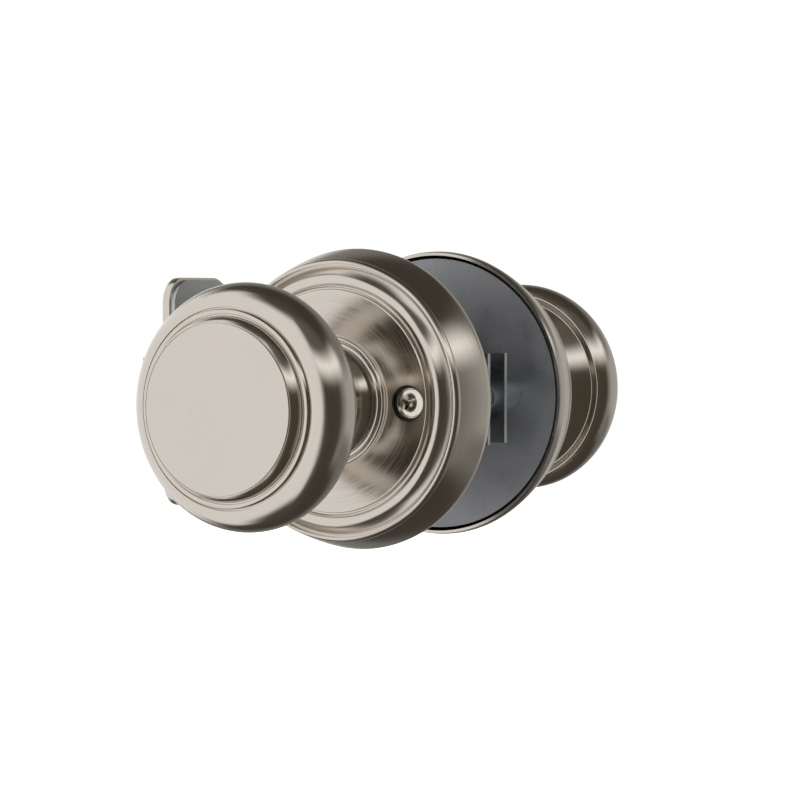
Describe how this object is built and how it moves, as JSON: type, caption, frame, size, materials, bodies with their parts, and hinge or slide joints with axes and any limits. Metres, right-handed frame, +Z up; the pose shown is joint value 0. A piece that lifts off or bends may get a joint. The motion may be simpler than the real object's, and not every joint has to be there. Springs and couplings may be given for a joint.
{
  "type": "passage door knob set",
  "caption": "Passage door knob set: round stepped knobs on ringed round roses either side of a door, joined by a square spindle through a spring latch.",
  "frame": {"origin": "on the knob axis, at the middle of the door's thickness", "axes": "+Z up, +Y out of the exterior side along the knob axis, the latch bolt points to -X"},
  "size_m": [0.1065, 0.1522, 0.07],
  "materials": {
    "satin_nickel": "satin nickel plate, finely brushed in circles",
    "die_cast_zinc": "as-cast zinc alloy",
    "zinc_plated_steel": "bright zinc plated pressed steel",
    "spring_steel": "oiled spring wire",
    "nylon": "moulded natural nylon",
    "nickel_plated_screw": "polished nickel plated steel",
    "plated_latch_bolt": "satin nickel plated cast bolt"
  },
  "bodies": {
    "root": {"interior_rose": "satin_nickel", "interior_rose_liner": "die_cast_zinc", "interior_spring_cage": "zinc_plated_steel", "interior_collar_bush": "nylon", "interior_return_spring": "spring_steel", "exterior_rose": "satin_nickel", "exterior_rose_liner": "die_cast_zinc", "exterior_spring_cage": "zinc_plated_steel", "exterior_collar_bush": "nylon", "exterior_return_spring": "spring_steel", "mounting_screws": "nickel_plated_screw", "mounting_posts": "zinc_plated_steel", "latch_case": "zinc_plated_steel", "case_rivets": "zinc_plated_steel", "spring_stop": "zinc_plated_steel", "latch_faceplate": "satin_nickel", "latch_backplate": "zinc_plated_steel", "faceplate_screws": "nickel_plated_screw", "latch_spring": "spring_steel"},
    "interior_knob": {"interior_knob_front": "satin_nickel", "interior_knob_back": "satin_nickel", "interior_knob_core": "die_cast_zinc", "interior_knob_neck": "satin_nickel", "interior_drive_socket": "die_cast_zinc", "interior_retaining_ring": "spring_steel", "interior_spring_driver": "zinc_plated_steel"},
    "exterior_knob": {"exterior_knob_front": "satin_nickel", "exterior_knob_back": "satin_nickel", "exterior_knob_core": "die_cast_zinc", "exterior_knob_neck": "satin_nickel", "exterior_drive_socket": "die_cast_zinc", "exterior_retaining_ring": "spring_steel", "exterior_spring_driver": "zinc_plated_steel", "spindle": "zinc_plated_steel", "spindle_pin": "spring_steel"},
    "hub": {"latch_hub": "zinc_plated_steel"},
    "bolt": {"latch_bolt": "plated_latch_bolt", "bolt_fork": "zinc_plated_steel"}
  },
  "joints": [
    {"name": "interior_knob_turn", "type": "hinge", "parent": "root", "child": "interior_knob", "pos_m": [0, -0.03, 0], "axis": [0, 1, 0], "range_deg": [0, 66], "stiffness_Nm_per_rad": 0.12, "springref_deg": -34.38, "deforming": ["interior_return_spring"]},
    {"name": "exterior_knob_turn", "type": "hinge", "parent": "root", "child": "exterior_knob", "pos_m": [0, 0.03, 0], "axis": [0, 1, 0], "range_deg": [0, 66], "stiffness_Nm_per_rad": 0.12, "springref_deg": -34.38, "deforming": ["exterior_return_spring"]},
    {"name": "latch_hub_turn", "type": "hinge", "parent": "root", "child": "hub", "pos_m": [0, 0, 0], "axis": [0, 1, 0], "range_deg": [0, 66]},
    {"name": "latch_bolt_slide", "type": "slide", "parent": "root", "child": "bolt", "axis": [1, 0, 0], "range_m": [0, 0.0111], "stiffness_N_per_m": 250, "springref_m": -0.012, "deforming": ["latch_spring"]}
  ],
  "couplings": [
    {"joint": "exterior_knob_turn", "follows": "interior_knob_turn", "ratio": 1},
    {"joint": "latch_hub_turn", "follows": "interior_knob_turn", "ratio": 1},
    {"joint": "latch_bolt_slide", "follows": "interior_knob_turn", "m_per_rad": 0.0096361}
  ]
}
